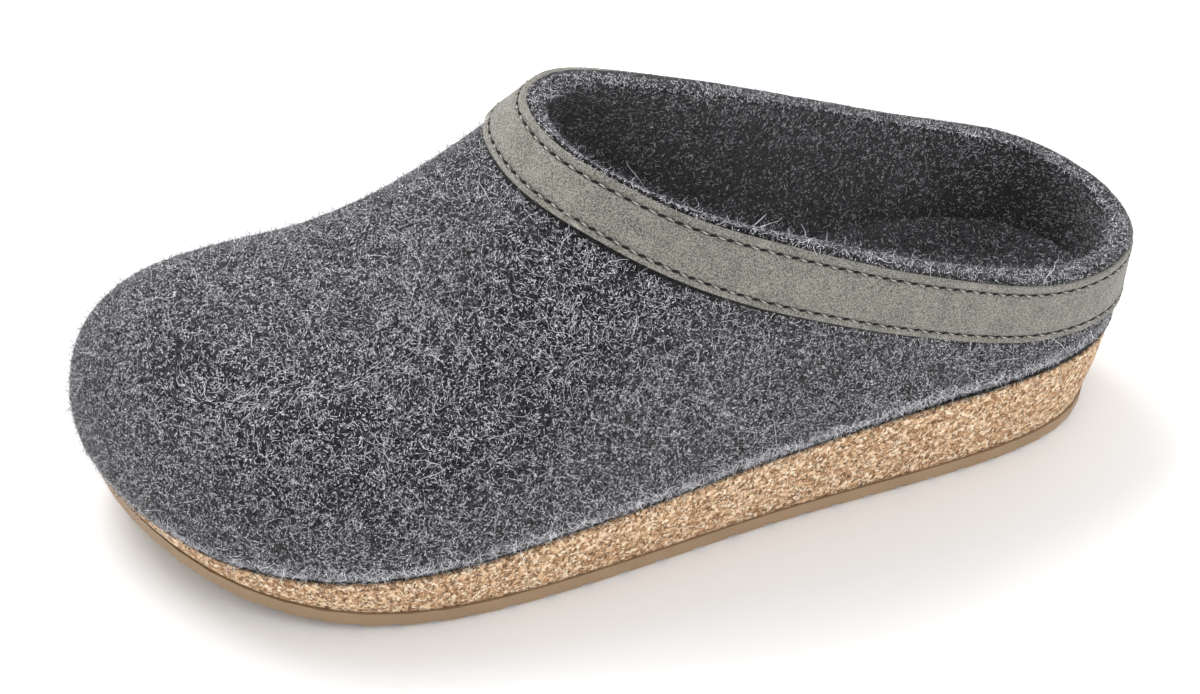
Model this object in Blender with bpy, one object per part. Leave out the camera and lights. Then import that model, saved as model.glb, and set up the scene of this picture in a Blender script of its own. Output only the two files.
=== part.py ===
"""A left wool felt clog: a moulded felt upper with a leather collar band, on a felt-covered cork footbed and a thin tread.

X runs from the heel to the toe, Y to the wearer's left, which is the outer side of this shoe, and Z up from the floor.
"""

import math
from collections import namedtuple

import bmesh
import bpy
import numpy as np
from mathutils import Matrix

# The last, in metres. Its felt line is where the upper meets the cork.
LENGTH = 0.280
BALL_WIDTH = 0.110
INSTEP_HEIGHT = 0.116
COLLAR_HEIGHT = 0.0568
HEEL_HEIGHT = 0.0312
HEEL_RADIUS = 0.0357
TOE_RADIUS = 0.040
TOE_SWING = 0.016
TOE_WALL = 0.014
HEEL_LEAN = -0.0007
ARCH_LIFT = 0.002
RIDGE_SHIFT = 0.0084

# Walls, sheets and edges, in metres.
FELT_THICKNESS = 0.005
LEATHER_THICKNESS = 0.0014
BAND_WIDTH = 0.0182
THROAT_BAND_WIDTH = 0.0152
BAND_SETBACK = 0.0010
BAND_GAP = 0.0004
INSOLE_THICKNESS = 0.003
TREAD_THICKNESS = 0.005
GAP = 0.0003
BED_MARGIN = 0.0006
INSOLE_MARGIN = 0.0012

# The cork and the tread under it, in metres.
HEEL_TAPER = 0.0034
TOE_TAPER = 0.0017
CORK_BULGE = 0.0005
TREAD_LIP = 0.0004
TREAD_ROUND = 0.0012
TOE_SPRING = 0.012
HEEL_ROLL = 0.0024
GROOVE_WIDTH = 0.0030
GROOVE_DEPTH = 0.0013
GROOVE_PITCH = 0.0100
GROOVE_WAVE = 0.0025
GROOVE_WAVE_LENGTH = 0.028
GROOVE_MARGIN = 0.006

# Where things begin, as shares of the length from the heel.
THROAT = 0.592
BAND_TAPER_START = 0.38
NOSE_START = 0.92
SPRING_START = 0.70
ROLL_END = 0.06

# Sections of the last, heel to toe. Station is a share of LENGTH, lateral and medial are half widths as shares of
# BALL_WIDTH, and overhang is how far the felt bulges past the felt line, as a share of FELT_THICKNESS.
Section = namedtuple("Section", "station lateral medial overhang")
SECTIONS = (
    Section(0.05, 0.258, 0.248, 0.0),
    Section(0.12, 0.336, 0.334, 0.0),
    Section(0.25, 0.382, 0.334, 0.1),
    Section(0.40, 0.414, 0.308, 0.3),
    Section(0.55, 0.466, 0.386, 0.4),
    Section(0.65, 0.494, 0.456, 0.4),
    Section(0.75, 0.493, 0.504, 0.5),
    Section(0.85, 0.425, 0.473, 0.6),
    Section(0.93, 0.270, 0.377, 0.6),
)

# The side view. Rim is the top of the cork as a share of HEEL_HEIGHT, and crest the ridge of the felt as a share of
# INSTEP_HEIGHT. Behind the throat it is only the guide that the walls lean towards. Square is the section's exponent.
Profile = namedtuple("Profile", "station rim crest square")
PROFILES = (
    Profile(0.00, 0.980, 1.750, 2.4),
    Profile(0.12, 0.960, 1.700, 2.4),
    Profile(0.25, 0.955, 1.545, 2.3),
    Profile(0.40, 0.916, 1.240, 2.05),
    Profile(0.50, 0.836, 1.095, 1.9),
    Profile(0.57, 0.766, 0.982, 1.9),
    Profile(0.65, 0.683, 0.805, 2.05),
    Profile(0.75, 0.597, 0.622, 2.3),
    Profile(0.85, 0.569, 0.594, 2.4),
    Profile(0.93, 0.588, 0.590, 2.3),
    Profile(0.98, 0.616, 0.480, 2.2),
)

# The collar's cut in the side view: run is a share of the way from the heel back to the throat, and height goes from
# COLLAR_HEIGHT, at 0, to the ridge at the throat, at 1.
Cut = namedtuple("Cut", "run height")
COLLAR = (
    Cut(0.00, 0.000),
    Cut(0.08, 0.049),
    Cut(0.22, 0.113),
    Cut(0.45, 0.368),
    Cut(0.65, 0.631),
    Cut(0.85, 0.858),
    Cut(0.95, 0.970),
    Cut(1.00, 1.000),
)

# The footbed's centre line, as shares of HEEL_HEIGHT.
Bed = namedtuple("Bed", "station height")
FOOTBED = (
    Bed(0.00, 0.66),
    Bed(0.15, 0.58),
    Bed(0.35, 0.66),
    Bed(0.55, 0.56),
    Bed(0.72, 0.42),
    Bed(0.88, 0.42),
    Bed(1.00, 0.50),
)
CUP_POWER = 3.5
END_POWER = 8

# The rise that the upper's lower rows of points head for, so that they don't all bend up at the throat.
Guide = namedtuple("Guide", "station rise")
ROW_GUIDE = (
    Guide(0.00, 0.12),
    Guide(0.25, 0.28),
    Guide(0.50, 0.74),
    Guide(0.65, 1.14),
    Guide(0.80, 1.46),
    Guide(1.00, 1.57),
)

# How finely the surfaces are divided.
REAR_COLUMNS = 24
FRONT_COLUMNS = 16
WALL_ROWS = 12
ROW_POWER = 1.25
BAND_STEPS = 8
SOLE_COLUMNS = 34
BED_STRIPS = 12
SIDE_ROWS = 3


def column(table, name):
    """One named column of a table, as an array."""
    return np.array([getattr(row, name) for row in table])


def through(stations, values, at):
    """A smooth curve through a table's rows, read at one place or many."""
    slopes = np.gradient(values, stations)
    at = np.asarray(at, float)
    left = np.clip(np.searchsorted(stations, at) - 1, 0, len(stations) - 2)
    step = stations[left + 1] - stations[left]
    t = (at - stations[left]) / step
    return (
        values[left] * (1 + 2 * t) * (1 - t) ** 2
        + slopes[left] * step * t * (1 - t) ** 2
        + values[left + 1] * t**2 * (3 - 2 * t)
        + slopes[left + 1] * step * t**2 * (t - 1)
    )


def turn_of(station):
    """The angle round the last at a station: 0 at the heel back and pi at the toe tip."""
    return np.arccos(np.clip(1 - 2 * np.asarray(station, float), -1, 1))


def station_of(turn):
    """The share of the length at an angle round the last."""
    return (1 - np.cos(turn)) / 2


def axis_at(station):
    """Sideways place of the middle of the last."""
    stations = np.r_[0.0, column(SECTIONS, "station"), 1.0]
    middle = (column(SECTIONS, "lateral") - column(SECTIONS, "medial")) / 2 * BALL_WIDTH
    return through(stations, np.r_[middle[0], middle, -TOE_SWING], station)


def breadth_at(station):
    """Half the last's width over the sine of its turn, which stays smooth round the heel and the toe."""
    turns = turn_of(column(SECTIONS, "station"))
    halves = (column(SECTIONS, "lateral") + column(SECTIONS, "medial")) / 2 * BALL_WIDTH
    ends = [math.sqrt(radius * LENGTH / 2) for radius in (HEEL_RADIUS, TOE_RADIUS)]
    return through(np.r_[0.0, turns, math.pi], np.r_[ends[0], halves / np.sin(turns), ends[1]], turn_of(station))


def felt_line(turn):
    """Plan point of the felt line at each angle round the last. Positive turns are the outer side."""
    station = station_of(turn)
    return np.stack([(station - 0.5) * LENGTH, axis_at(station) + breadth_at(station) * np.sin(turn)], -1)


def outward(turn, nudge=1e-3):
    """Unit plan direction away from the last, square to the felt line."""
    along = felt_line(turn + nudge) - felt_line(turn - nudge)
    across = np.stack([-along[..., 1], along[..., 0]], -1)
    return across / np.linalg.norm(across, axis=-1, keepdims=True)


def profile_at(name, turn):
    """A column of PROFILES at an angle round the last, as a share."""
    return through(turn_of(column(PROFILES, "station")), column(PROFILES, name), np.arccos(np.cos(turn)))


def rim_height(turn):
    """Height of the felt line, which is a little higher along the inner arch."""
    arch = np.exp(-(((station_of(turn) - 0.42) / 0.14) ** 2))
    return HEEL_HEIGHT * profile_at("rim", turn) - ARCH_LIFT * arch * np.sin(turn)


def crest_height(turn):
    """Height of the ridge, which meets the top of the toe's wall with an upright tangent."""
    rows = turn_of(column(PROFILES, "station"))
    heights = INSTEP_HEIGHT * column(PROFILES, "crest")
    toe_top = HEEL_HEIGHT * PROFILES[-1].rim + TOE_WALL
    return through(np.r_[rows, math.pi], np.r_[heights, toe_top], np.arccos(np.cos(turn)))


def skin(turn, rise):
    """A point of the upper's outer face: rise is 0 at the felt line, pi / 2 on the ridge and below 0 under the line."""
    turn, rise = np.broadcast_arrays(np.asarray(turn, float), np.asarray(rise, float))
    station = station_of(turn)
    line = felt_line(turn)
    low = rim_height(turn)
    climb = np.sign(rise) * np.abs(np.sin(rise)) ** (2 / profile_at("square", turn))
    z = low + (crest_height(turn) - low) * climb
    ridge = axis_at(station) - RIDGE_SHIFT * np.tanh(3 * np.sin(turn) ** 2)
    y = ridge + (line[..., 1] - ridge) * np.cos(rise)
    overhang = through(column(SECTIONS, "station"), column(SECTIONS, "overhang"), np.clip(station, 0.05, 0.93))
    bulge = FELT_THICKNESS * overhang
    below = np.clip(1 - (z - low) / (2.5 * FELT_THICKNESS), 0, 1)
    swell = bulge * (1 - below**2)
    nose = np.clip((station - NOSE_START) / (1 - NOSE_START), 0, 1) ** 2 * (1 - np.cos(rise))
    out = outward(turn) * (swell * np.cos(rise))[..., None] + np.stack([swell * nose, 0 * nose], -1)
    lean = HEEL_LEAN * (z - low) / (COLLAR_HEIGHT - HEEL_HEIGHT) * np.clip(1 - station / 0.35, 0, 1) ** 2
    return np.stack([line[..., 0] + out[..., 0] - lean, y + out[..., 1], z], -1)


def collar_rise(station):
    """The rise at which the collar's cut crosses each station behind the throat."""
    top = crest_height(turn_of(THROAT))
    run = np.asarray(station, float) / THROAT
    height = COLLAR_HEIGHT + (top - COLLAR_HEIGHT) * through(column(COLLAR, "run"), column(COLLAR, "height"), run)
    turn = turn_of(station)
    low = HEEL_HEIGHT * profile_at("rim", turn)
    share = np.clip((height - low) / (crest_height(turn) - low), 0, 1)
    return np.arcsin(share ** (profile_at("square", turn) / 2))


def slopes_at(turn, rise, nudge=1e-3):
    """How the outer face's point moves with the turn and with the rise."""
    along = (skin(turn + nudge, rise) - skin(turn - nudge, rise)) / (2 * nudge)
    up = (skin(turn, rise + nudge) - skin(turn, rise - nudge)) / (2 * nudge)
    return along, up


def unit(vectors):
    """Vectors scaled to a length of one."""
    return vectors / np.linalg.norm(vectors, axis=-1, keepdims=True)


def face_out(turn, rise):
    """Unit normal of the outer face, read a little below the ridge at the toe tip, where the ridge ends."""
    tip = np.abs(turn) > np.pi - 1e-6
    along, up = slopes_at(turn, np.where(tip, np.minimum(rise, 1.5), rise))
    return unit(np.cross(up, along))


def mesh_object(name, points, faces, material=None):
    """A shaded mesh object from points and faces, with its faces turned outwards."""
    mesh = bpy.data.meshes.new(name)
    mesh.from_pydata([tuple(p) for p in points], [], faces)
    shape = bmesh.new()
    shape.from_mesh(mesh)
    bmesh.ops.remove_doubles(shape, verts=shape.verts, dist=2e-6)
    bmesh.ops.recalc_face_normals(shape, faces=shape.faces)
    shape.to_mesh(mesh)
    shape.free()
    mesh.shade_smooth()
    mesh.set_sharp_from_angle(angle=math.radians(40))
    if material:
        mesh.materials.append(material)
    made = bpy.data.objects.new(name, mesh)
    bpy.context.scene.collection.objects.link(made)
    return made


def closed_rows(points, rows, columns, ring):
    """Quads between neighbouring rows of points, and right round from the last row to the first where ring is true."""
    faces = []
    for row in range(rows if ring else rows - 1):
        low = row * columns
        high = (row + 1) % rows * columns
        for i in range(columns):
            j = (i + 1) % columns
            faces.append((low + i, low + j, high + j, high + i))
    return faces


def finish(name, colour, roughness):
    """A plain material of one colour."""
    material = bpy.data.materials.new(name)
    material.use_nodes = True
    shader = material.node_tree.nodes["Principled BSDF"]
    shader.inputs["Base Color"].default_value = (*colour, 1)
    shader.inputs["Roughness"].default_value = roughness
    return material


def upper_turns():
    """The angles of the upper's columns on the outer side, heel to toe, closest together at the throat."""
    rear = THROAT * (1 - np.cos(np.pi * np.arange(REAR_COLUMNS + 1) / REAR_COLUMNS)) / 2
    front = THROAT + (1 - THROAT) * np.sin(np.pi / 2 * np.arange(1, FRONT_COLUMNS + 1) / FRONT_COLUMNS)
    return turn_of(np.r_[rear, front])


def make_upper(material):
    """The felt shell: one wall, open at the collar and underneath."""
    side = upper_turns()
    stations = station_of(side)
    behind = np.arange(len(side)) < REAR_COLUMNS
    tops = np.where(behind, collar_rise(np.minimum(stations, THROAT)), np.pi / 2)
    turns = np.r_[side, -side[-2:0:-1]]
    tops = np.r_[tops, tops[-2:0:-1]]
    count = len(turns)
    shares = ((np.arange(WALL_ROWS + 1) / WALL_ROWS) ** ROW_POWER)[:, None]
    guide = through(column(ROW_GUIDE, "station"), column(ROW_GUIDE, "rise"), station_of(turns))
    rises = guide * shares + (tops - guide) * shares**3
    grid = np.broadcast_to(turns, rises.shape)
    outer = skin(grid, rises)
    inner = outer - FELT_THICKNESS * face_out(grid, rises)
    inner[0, :, :2] = felt_line(turns) - FELT_THICKNESS * outward(turns)
    outer[0, :, 2] += GAP
    inner[0, :, 2] = outer[0, :, 2]

    # Both sides share the ridge, from the throat to the toe.
    mirror = (count - np.arange(count)) % count
    on_ridge = tops > np.pi / 2 - 1e-9
    for face in (outer, inner):
        face[-1] = np.where(on_ridge[:, None], (face[-1] + face[-1][mirror]) / 2, face[-1])

    points = np.concatenate([outer.reshape(-1, 3), inner.reshape(-1, 3)])
    rows = WALL_ROWS + 1
    faces = closed_rows(points, rows, count, ring=False)
    behind_inner = rows * count
    faces += [tuple(behind_inner + v for v in reversed(face)) for face in faces]
    top = (rows - 1) * count
    for i in range(count):
        j = (i + 1) % count
        faces.append((j, i, behind_inner + i, behind_inner + j))
        if not (on_ridge[i] and on_ridge[j]):
            faces.append((top + i, top + j, behind_inner + top + j, behind_inner + top + i))
    return mesh_object("upper", points, faces, material)


def collar_ring():
    """Turn and rise of the collar's edge, right round from the heel back by the outer side."""
    side = upper_turns()[: REAR_COLUMNS + 1]
    rises = collar_rise(np.minimum(station_of(side), THROAT))
    rises[-1] = np.pi / 2
    return np.r_[side, -side[-2:0:-1]], np.r_[rises, rises[-2:0:-1]]


def down_the_skin(turns, rises, distance, steps):
    """Walks from the collar's edge down the outer face, square to the edge, and gives each row's turns and rises."""
    points = skin(turns, rises)
    edge = unit(np.roll(points, -1, 0) - np.roll(points, 1, 0))
    rows = [(turns, rises)]
    for _ in range(steps):
        along, up = slopes_at(turns, rises)
        normal = unit(np.cross(up, along))
        down = unit(np.cross(edge, normal))
        down *= np.where(np.sum(down * up, -1, keepdims=True) > 0, -1, 1)
        down = np.where((rises > np.pi / 2 - 1e-6)[:, None], unit(along), down)
        aa = np.sum(along * along, -1)
        au = np.sum(along * up, -1)
        uu = np.sum(up * up, -1)
        da = np.sum(down * along, -1)
        du = np.sum(down * up, -1)
        spread = aa * uu - au * au
        turns = turns + distance / steps * (da * uu - du * au) / spread
        rises = rises + distance / steps * (du * aa - da * au) / spread
        rows.append((turns, rises))
    return rows


def band_width(turn):
    """How far the band reaches down from the collar's edge, which is less at the throat."""
    share = np.clip((station_of(turn) - BAND_TAPER_START) / (THROAT - BAND_TAPER_START), 0, 1)
    return BAND_WIDTH + (THROAT_BAND_WIDTH - BAND_WIDTH) * share**2 * (3 - 2 * share)


def make_band(material):
    """The leather band round the outside of the collar."""
    turns, rises = collar_ring()
    start = down_the_skin(turns, rises, BAND_SETBACK, 1)[-1]
    rows = down_the_skin(*start, band_width(turns) - BAND_SETBACK, BAND_STEPS)
    faces_out = [(skin(t, r), face_out(t, r)) for t, r in rows]
    inner = [point + normal * BAND_GAP for point, normal in faces_out]
    outer = [point + normal * (BAND_GAP + LEATHER_THICKNESS) for point, normal in faces_out]
    loops = outer + inner[::-1]
    points = np.concatenate(loops)
    faces = closed_rows(points, len(loops), len(turns), ring=True)
    return mesh_object("collar_band", points, faces, material)


def ground(x):
    """Height of the tread's underside over the floor."""
    station = x / LENGTH + 0.5
    spring = np.clip((station - SPRING_START) / (1 - SPRING_START), 0, None)
    roll = np.clip((ROLL_END - station) / ROLL_END, 0, None)
    return TOE_SPRING * spring**2 + HEEL_ROLL * roll**2


def sole_turns():
    """The angles of the sole's columns on the outer side."""
    return np.linspace(0, np.pi, SOLE_COLUMNS + 1)


def round_trip(side):
    """Angles of one side carried right round the last."""
    return np.r_[side, -side[-2:0:-1]]


def outline(turns, inset):
    """Plan points inside the felt line by an inset."""
    return felt_line(turns) - outward(turns) * np.asarray(inset)[..., None]


def taper(turns):
    """How far the cork's foot stands in from the felt line."""
    return HEEL_TAPER + (TOE_TAPER - HEEL_TAPER) * station_of(turns)


def sheet(edge, side_count, strips, height, first):
    """Points and quads across an outline, from its outer side to its inner side, numbered from first."""
    count = len(edge)
    left = edge[: side_count]
    right = edge[(count - np.arange(side_count)) % count]
    shares = (1 - np.cos(np.pi * np.arange(strips + 1) / strips)) / 2
    points = []
    for i in range(side_count):
        for share in shares:
            plan = left[i] + (right[i] - left[i]) * share
            points.append((plan[0], plan[1], height(i, 1 - 2 * share, plan)))
    faces = []
    for i in range(side_count - 1):
        for j in range(strips):
            a = first + i * (strips + 1) + j
            faces.append((a, a + 1, a + strips + 2, a + strips + 1))
    return points, faces


def bed_height(side):
    """A function for the footbed's height at a column and a place across, from 1 outside to -1 inside."""
    stations = station_of(side)
    middle = HEEL_HEIGHT * through(column(FOOTBED, "station"), column(FOOTBED, "height"), stations)
    outer = rim_height(side)
    inner = rim_height(-side)

    def height(i, across, plan):
        rim = (outer[i] + inner[i]) / 2 + (outer[i] - inner[i]) / 2 * across
        cup = (1 - abs(across) ** CUP_POWER) * (1 - abs(1 - 2 * stations[i]) ** END_POWER)
        return rim - (rim - middle[i]) * cup

    return height


def make_cork(material):
    """The cork midsole: a tapered side, a ledge under the felt wall and a hollowed footbed."""
    side = sole_turns()
    turns = round_trip(side)
    count = len(turns)
    rim = rim_height(turns)
    foot = outline(turns, taper(turns))
    top = felt_line(turns)
    low = ground(foot[:, 0]) + TREAD_THICKNESS + GAP
    rows = []
    for share in np.linspace(0, 1, SIDE_ROWS + 1):
        swell = CORK_BULGE * 4 * share * (1 - share)
        plan = top + (foot - top) * share + outward(turns) * swell
        rows.append(np.c_[plan, rim + (low - rim) * share])
    ledge = outline(turns, FELT_THICKNESS + BED_MARGIN)
    rows.insert(0, np.c_[ledge, rim])
    points = np.concatenate(rows)
    faces = closed_rows(points, len(rows), count, ring=False)
    bed_points, bed_faces = sheet(ledge, len(side), BED_STRIPS, bed_height(side), len(points))
    points = np.concatenate([points, np.array(bed_points)])
    faces += bed_faces

    def under(i, across, plan):
        return ground(plan[0]) + TREAD_THICKNESS + GAP

    under_points, under_faces = sheet(foot, len(side), 1, under, len(points))
    points = np.concatenate([points, np.array(under_points)])
    faces += under_faces
    return mesh_object("cork_midsole", points, faces, material)


def make_insole(material):
    """The felt sheet on the footbed, clear of the felt wall."""
    side = sole_turns()
    turns = round_trip(side)
    count = len(turns)
    edge = outline(turns, FELT_THICKNESS + INSOLE_MARGIN)
    bed = bed_height(side)

    def under(i, across, plan):
        return bed(i, across, plan) + GAP

    def over(i, across, plan):
        return bed(i, across, plan) + GAP + INSOLE_THICKNESS

    low_points, low_faces = sheet(edge, len(side), BED_STRIPS, under, 0)
    high_points, high_faces = sheet(edge, len(side), BED_STRIPS, over, len(low_points))
    points = np.array(low_points + high_points)
    faces = low_faces + high_faces
    width = BED_STRIPS + 1
    outer = [i * width for i in range(len(side))]
    inner = [i * width + BED_STRIPS for i in range(len(side))]
    step = len(low_points)
    for line in (outer, inner):
        for a, b in zip(line[:-1], line[1:]):
            faces.append((a, b, b + step, a + step))
    return mesh_object("insole", points, faces, material)


def groove_cutter():
    """Wavy channels across the underside of the tread."""
    points = []
    faces = []
    waves = int(math.ceil(BALL_WIDTH / GROOVE_WAVE_LENGTH)) + 1
    bends = np.arange(-waves, waves + 1)
    ys = bends * GROOVE_WAVE_LENGTH / 2
    shift = GROOVE_WAVE * (-1.0) ** bends
    start = -LENGTH / 2 + GROOVE_MARGIN
    count = int((LENGTH - 2 * GROOVE_MARGIN) / GROOVE_PITCH)
    for k in range(count + 1):
        first = len(points)
        for y, wave in zip(ys, shift):
            x = start + k * GROOVE_PITCH + wave
            floor = ground(x)
            for dx, z in (
                (-GROOVE_WIDTH / 2, floor - 2 * GROOVE_DEPTH),
                (GROOVE_WIDTH / 2, floor - 2 * GROOVE_DEPTH),
                (GROOVE_WIDTH / 2, floor + GROOVE_DEPTH),
                (-GROOVE_WIDTH / 2, floor + GROOVE_DEPTH),
            ):
                points.append((x + dx, y, z))
        for n in range(len(ys) - 1):
            a = first + 4 * n
            for c in range(4):
                d = (c + 1) % 4
                faces.append((a + c, a + d, a + 4 + d, a + 4 + c))
        faces.append((first, first + 1, first + 2, first + 3))
        last = first + 4 * (len(ys) - 1)
        faces.append((last + 3, last + 2, last + 1, last))
    cutter = mesh_object("tread_grooves", points, faces)
    cutter.hide_render = True
    cutter.display_type = "WIRE"
    return cutter


def make_outsole(material):
    """The tread: a thin slab with a toe spring, a rounded lower edge and wavy grooves."""
    side = sole_turns()
    turns = round_trip(side)
    count = len(turns)
    wide = outline(turns, taper(turns) - TREAD_LIP)
    narrow = outline(turns, taper(turns) - TREAD_LIP + TREAD_ROUND)
    middle = outline(turns, taper(turns) - TREAD_LIP + 0.25 * TREAD_ROUND)
    rows = [
        np.c_[wide, ground(wide[:, 0]) + TREAD_THICKNESS],
        np.c_[wide, ground(wide[:, 0]) + 1.8 * TREAD_ROUND],
        np.c_[middle, ground(middle[:, 0]) + 0.7 * TREAD_ROUND],
        np.c_[narrow, ground(narrow[:, 0])],
    ]
    points = np.concatenate(rows)
    faces = closed_rows(points, len(rows), count, ring=False)

    def over(i, across, plan):
        return ground(plan[0]) + TREAD_THICKNESS

    def under(i, across, plan):
        return ground(plan[0])

    over_points, over_faces = sheet(wide, len(side), 1, over, len(points))
    points = np.concatenate([points, np.array(over_points)])
    faces += over_faces
    under_points, under_faces = sheet(narrow, len(side), 1, under, len(points))
    points = np.concatenate([points, np.array(under_points)])
    faces += under_faces
    made = mesh_object("outsole", points, faces, material)
    cutter = groove_cutter()
    cut = made.modifiers.new("grooves", "BOOLEAN")
    cut.operation = "DIFFERENCE"
    cut.solver = "EXACT"
    cut.object = cutter
    return made


def centre_all():
    """Moves everything so that the origin is the middle of the shoe's footprint, on the floor."""
    shown = [made for made in bpy.data.objects if made.type == "MESH" and not made.hide_render]
    corners = np.array([vert.co for made in shown for vert in made.data.vertices])
    low = corners.min(0)
    high = corners.max(0)
    shift = Matrix.Translation((-(low[0] + high[0]) / 2, -(low[1] + high[1]) / 2, -low[2]))
    for made in bpy.data.objects:
        made.data.transform(shift)
        made.data.update()


def make_all():
    """Builds every piece."""
    felt = finish("grey_felt", (0.10, 0.105, 0.115), 0.95)
    insole_felt = finish("light_grey_felt", (0.22, 0.22, 0.225), 0.95)
    leather = finish("grey_leather", (0.27, 0.26, 0.235), 0.75)
    cork = finish("cork", (0.45, 0.31, 0.19), 0.85)
    tread = finish("brown_rubber", (0.33, 0.23, 0.15), 0.7)
    make_upper(felt)
    make_band(leather)
    make_cork(cork)
    make_insole(insole_felt)
    make_outsole(tread)
    centre_all()


def clear_scene():
    """Removes what the scene holds at the start."""
    for old in list(bpy.data.objects):
        bpy.data.objects.remove(old)


clear_scene()
make_all()
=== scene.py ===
"""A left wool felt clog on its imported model: felt with its fibres, a stitched leather band, cork and rubber."""

import math

import bmesh
import bpy
import numpy as np
from mathutils import Matrix, Quaternion, Vector, noise
from mathutils.bvhtree import BVHTree
from mathutils.kdtree import KDTree


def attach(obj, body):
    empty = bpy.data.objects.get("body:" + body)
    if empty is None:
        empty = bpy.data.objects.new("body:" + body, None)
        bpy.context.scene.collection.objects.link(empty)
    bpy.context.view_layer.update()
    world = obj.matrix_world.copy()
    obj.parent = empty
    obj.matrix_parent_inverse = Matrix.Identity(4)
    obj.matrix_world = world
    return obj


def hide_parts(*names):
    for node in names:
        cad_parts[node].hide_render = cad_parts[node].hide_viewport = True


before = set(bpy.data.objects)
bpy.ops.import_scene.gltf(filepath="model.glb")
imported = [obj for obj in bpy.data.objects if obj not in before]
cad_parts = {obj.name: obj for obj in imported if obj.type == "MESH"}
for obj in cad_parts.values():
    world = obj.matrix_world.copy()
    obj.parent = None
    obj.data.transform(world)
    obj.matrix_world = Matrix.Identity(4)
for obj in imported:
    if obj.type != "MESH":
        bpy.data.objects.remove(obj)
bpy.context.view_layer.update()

MM = 0.001
rng = np.random.default_rng(7)

# The camera, from the part's own frame: angles in degrees and lengths in mm.
VIEW_AZIMUTH = 159.33
VIEW_ELEVATION = 39.55
VIEW_ROLL = 3.26
VIEW_DISTANCE = 559.57
VIEW_TARGET = (9.433, 6.711, 40.0)
LENS = 64.95

# The felt, in mm. Wool is 0.03 to 0.04 mm thick, too fine to show, so its fibres are drawn four times as thick and
# are fewer. A fibre is a flat ribbon of a few straight parts, in one shade, as each fibre of blended wool has.
FIBRE_WIDTH = 0.15
FIBRE_STEPS = 2
HAIR_STEPS = 7
FIBRE_GAP = 0.04
# Fibres keep this far off the band, so none lie on the leather; the bare strip below it shows the dark ground as
# painted shade.
BAND_CLEAR = 1.3
# How many fibres each piece gets, before those too near the band or the cork are left out.
INNER_FIBRES = 52000
INSOLE_FIBRES = 17000
COMBED_FIBRES = 6000
EDGE_SHADE_FIBRES = 16000
HAZE_FIBRES = 22000
LONG_HAIRS = 1200
# How far the felt swells over the band, the leather lies under its rim, and the felt is drawn in at the cork.
RIM_BULGE = 1.2
BAND_DROP = 0.7
EDGE_TUCK = 0.9
EDGE_SWELL = 0.3
# The height and the length of the waves on moulded felt.
FELT_WAVES = ((0.3, 22), (0.1, 6))
# The insole is pressed to the wall from this far, fully when nearer by the blend, and sinks in by the last.
PRESS_REACH = 3.0
PRESS_BLEND = 1.5
PRESS_SINK = 0.4
CREASE_LINE = (
    (123.2, 18.2, 54.0),
    (114.7, 22.6, 57.8),
    (103.2, 24.9, 59.8),
    (91.5, 25.9, 61.0),
    (79.6, 26.6, 61.9),
    (63.9, 29.3, 66.2),
)
CREASE_DEPTH = 0.6
CREASE_REACH = 5.0

# The middle of the shoe's hollow, in mm: x, y and z along its length.
HOLLOW = ((-100.0, 1.0, 45.0), (0.0, 5.0, 45.0), (60.0, 0.0, 40.0), (90.0, -6.0, 36.0), (110.0, -9.0, 33.0))

# The band and its sewing, in mm and degrees.
RING_POINTS = 1600
STITCH_PITCH = 4.4
STITCH_LENGTH = 2.9
STITCH_HEIGHT = 0.05
STITCH_DIVE = 0.75
STITCH_SLANT = 0.22
PLY_RADIUS = 0.165
PLY_STEPS = 7
PLY_TURN = 1.9
UPPER_ROW = 3.0
LOWER_ROW = 1.7
GROOVE_DEPTH = 0.4
GROOVE_WIDTH = 0.65
HOLE_SIZE = (1.15, 0.42, 0.2)
HOLE_DEPTH = 0.26
HOLE_SLANT = 10
HEEL_JOINT = (-136.2, 19.3, 57.0)
JOINT_DEPTH = 1.1
JOINT_WIDTH = 0.7


def linear(code):
    """An sRGB hex colour as linear numbers with an alpha of one."""
    parts = [int(code[i : i + 2], 16) / 255 for i in (1, 3, 5)]
    return (*[p / 12.92 if p <= 0.04045 else ((p + 0.055) / 1.055) ** 2.4 for p in parts], 1)


def add(tree, kind, inputs=None, stops=None, **settings):
    """Adds a shader node with its settings, its ramp's stops, and its inputs as values or links."""
    made = tree.nodes.new("ShaderNode" + kind)
    for name, value in settings.items():
        setattr(made, name, value)
    for key, value in (inputs or {}).items():
        if isinstance(value, bpy.types.NodeSocket):
            tree.links.new(value, made.inputs[key])
        else:
            made.inputs[key].default_value = value
    if stops:
        ramp = made.color_ramp
        while len(ramp.elements) < len(stops):
            ramp.elements.new(1)
        for element, (place, colour) in zip(ramp.elements, stops):
            element.position = place
            element.color = linear(colour)
    return made


def finish(name, **sockets):
    """A new material, its node tree and its shader, with the shader's own sockets set."""
    material = bpy.data.materials.new(name)
    material.use_nodes = True
    shader = material.node_tree.nodes["Principled BSDF"]
    for key, value in sockets.items():
        shader.inputs[key.replace("_", " ")].default_value = value
    return material, material.node_tree, shader


def placed(name, data):
    """A new object in the scene."""
    made = bpy.data.objects.new(name, data)
    bpy.context.scene.collection.objects.link(made)
    return made


def fade(gap, reach):
    """A soft fall from 1 to 0 over a reach in mm."""
    return np.exp(-((gap / (reach * MM)) ** 2))


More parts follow.
